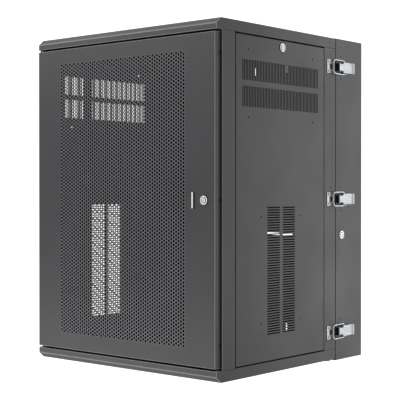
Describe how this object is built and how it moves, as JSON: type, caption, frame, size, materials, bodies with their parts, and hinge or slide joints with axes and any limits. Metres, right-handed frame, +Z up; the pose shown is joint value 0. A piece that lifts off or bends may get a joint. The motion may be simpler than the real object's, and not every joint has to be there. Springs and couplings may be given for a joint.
{
  "type": "wall mount network cabinet",
  "caption": "Swing-out wall cabinet for rack equipment with a perforated lockable front door, slotted removable side panels and wire-bail draw latches.",
  "frame": {"origin": "centre of the wall bolt pattern, on the plane of the wall", "axes": "+X to the right seen from the front, +Y into the wall, +Z up; the door faces -Y"},
  "size_m": [0.6585, 0.6373, 0.877],
  "materials": {
    "body_paint": "satin powder coat",
    "door_paint": "satin powder coat",
    "zinc": "bright zinc plate",
    "nickel": "nickel plate",
    "rubber": "matte",
    "bristle": "fine bristle",
    "nylon": "moulded nylon",
    "badge": "satin, blank"
  },
  "bodies": {
    "wall_section": {"wall_pan": "body_paint", "wall_channels": "body_paint", "entry_plates": "body_paint", "entry_brush": "bristle", "seam_gasket": "rubber", "ground_stud": "zinc", "support_tongue": "body_paint", "wall_hinge_leaves": "body_paint", "body_hinge_pins": "zinc", "wall_rivets": "zinc", "latch_bases": "zinc", "latch_pads": "rubber", "latch_pivot_pins": "zinc", "wall_lock_housing": "nickel"},
    "swing_body": {"top_cap": "body_paint", "bottom_cap": "body_paint", "cable_covers": "body_paint", "cable_brushes": "bristle", "door_bushings": "nylon", "front_post_right": "body_paint", "front_post_left": "body_paint", "rear_post_right": "body_paint", "rear_post_left": "body_paint", "side_brace_top_right": "body_paint", "side_brace_bottom_right": "body_paint", "side_brace_top_left": "body_paint", "side_brace_bottom_left": "body_paint", "rack_rail_front_right": "body_paint", "rack_rail_front_left": "body_paint", "rack_rail_rear_right": "body_paint", "rack_rail_rear_left": "body_paint", "rail_bolts": "zinc", "door_bumpers": "rubber", "door_strike": "zinc", "wall_strike": "body_paint", "body_hinge_leaves": "body_paint", "body_rivets": "zinc", "latch_keepers": "zinc"},
    "front_door": {"door_skin": "door_paint", "door_stiffeners": "door_paint", "door_hinge_pins": "zinc", "door_gasket": "rubber", "door_badge": "badge", "door_lock_housing": "nickel"},
    "door_lock": {"door_lock_plug": "nickel", "door_lock_cam": "zinc"},
    "right_side_panel": {"right_panel": "body_paint", "right_lock_housing": "nickel"},
    "right_panel_lock": {"right_lock_cylinder": "nickel"},
    "left_side_panel": {"left_panel": "body_paint", "left_lock_housing": "nickel"},
    "left_panel_lock": {"left_lock_cylinder": "nickel"},
    "wall_lock": {"wall_lock_plug": "nickel", "wall_lock_cam": "zinc"},
    "lever_top": {"latch_lever_top": "zinc"},
    "bail_top": {"latch_bail_top": "zinc"},
    "lever_middle": {"latch_lever_middle": "zinc"},
    "bail_middle": {"latch_bail_middle": "zinc"},
    "lever_bottom": {"latch_lever_bottom": "zinc"},
    "bail_bottom": {"latch_bail_bottom": "zinc"}
  },
  "joints": [
    {"name": "body_swing", "type": "hinge", "parent": "wall_section", "child": "swing_body", "pos_m": [-0.3235, -0.13075, 0], "axis": [0, 0, -1], "range_deg": [0, 100]},
    {"name": "door_swing", "type": "hinge", "parent": "swing_body", "child": "front_door", "pos_m": [-0.3105, -0.625, 0], "axis": [0, 0, -1], "range_deg": [0, 170]},
    {"name": "door_lock_turn", "type": "hinge", "parent": "front_door", "child": "door_lock", "pos_m": [0.2785, -0.635, 0], "axis": [0, -1, 0], "range_deg": [0, 90]},
    {"name": "right_panel_tilt", "type": "hinge", "parent": "swing_body", "child": "right_side_panel", "pos_m": [0.316, -0.37475, -0.4045], "axis": [0, 1, 0], "range_deg": [0, 30]},
    {"name": "right_panel_lock_turn", "type": "hinge", "parent": "right_side_panel", "child": "right_panel_lock", "pos_m": [0.3175, -0.374, 0.3862], "axis": [1, 0, 0], "range_deg": [0, 90]},
    {"name": "left_panel_tilt", "type": "hinge", "parent": "swing_body", "child": "left_side_panel", "pos_m": [-0.316, -0.37475, -0.4045], "axis": [0, -1, 0], "range_deg": [0, 30]},
    {"name": "left_panel_lock_turn", "type": "hinge", "parent": "left_side_panel", "child": "left_panel_lock", "pos_m": [-0.3175, -0.374, 0.3862], "axis": [1, 0, 0], "range_deg": [0, 90]},
    {"name": "wall_lock_turn", "type": "hinge", "parent": "wall_section", "child": "wall_lock", "pos_m": [0.3175, -0.102, -0.0977], "axis": [-1, 0, 0], "range_deg": [0, 90]},
    {"name": "lever_top_turn", "type": "hinge", "parent": "wall_section", "child": "lever_top", "pos_m": [0.3239, -0.1224, 0.358], "axis": [0, 0, -1], "range_deg": [0, 150]},
    {"name": "bail_top_turn", "type": "hinge", "parent": "lever_top", "child": "bail_top", "pos_m": [0.3219, -0.0955, 0.358], "axis": [0, 0, -1], "range_deg": [-150, 0]},
    {"name": "lever_middle_turn", "type": "hinge", "parent": "wall_section", "child": "lever_middle", "pos_m": [0.3239, -0.1224, 0], "axis": [0, 0, -1], "range_deg": [0, 150]},
    {"name": "bail_middle_turn", "type": "hinge", "parent": "lever_middle", "child": "bail_middle", "pos_m": [0.3219, -0.0955, 0], "axis": [0, 0, -1], "range_deg": [-150, 0]},
    {"name": "lever_bottom_turn", "type": "hinge", "parent": "wall_section", "child": "lever_bottom", "pos_m": [0.3239, -0.1224, -0.36], "axis": [0, 0, -1], "range_deg": [0, 150]},
    {"name": "bail_bottom_turn", "type": "hinge", "parent": "lever_bottom", "child": "bail_bottom", "pos_m": [0.3219, -0.0955, -0.36], "axis": [0, 0, -1], "range_deg": [-150, 0]}
  ],
  "couplings": [
    {"joint": "bail_top_turn", "follows": "lever_top_turn", "ratio": -1},
    {"joint": "bail_middle_turn", "follows": "lever_middle_turn", "ratio": -1},
    {"joint": "bail_bottom_turn", "follows": "lever_bottom_turn", "ratio": -1}
  ]
}
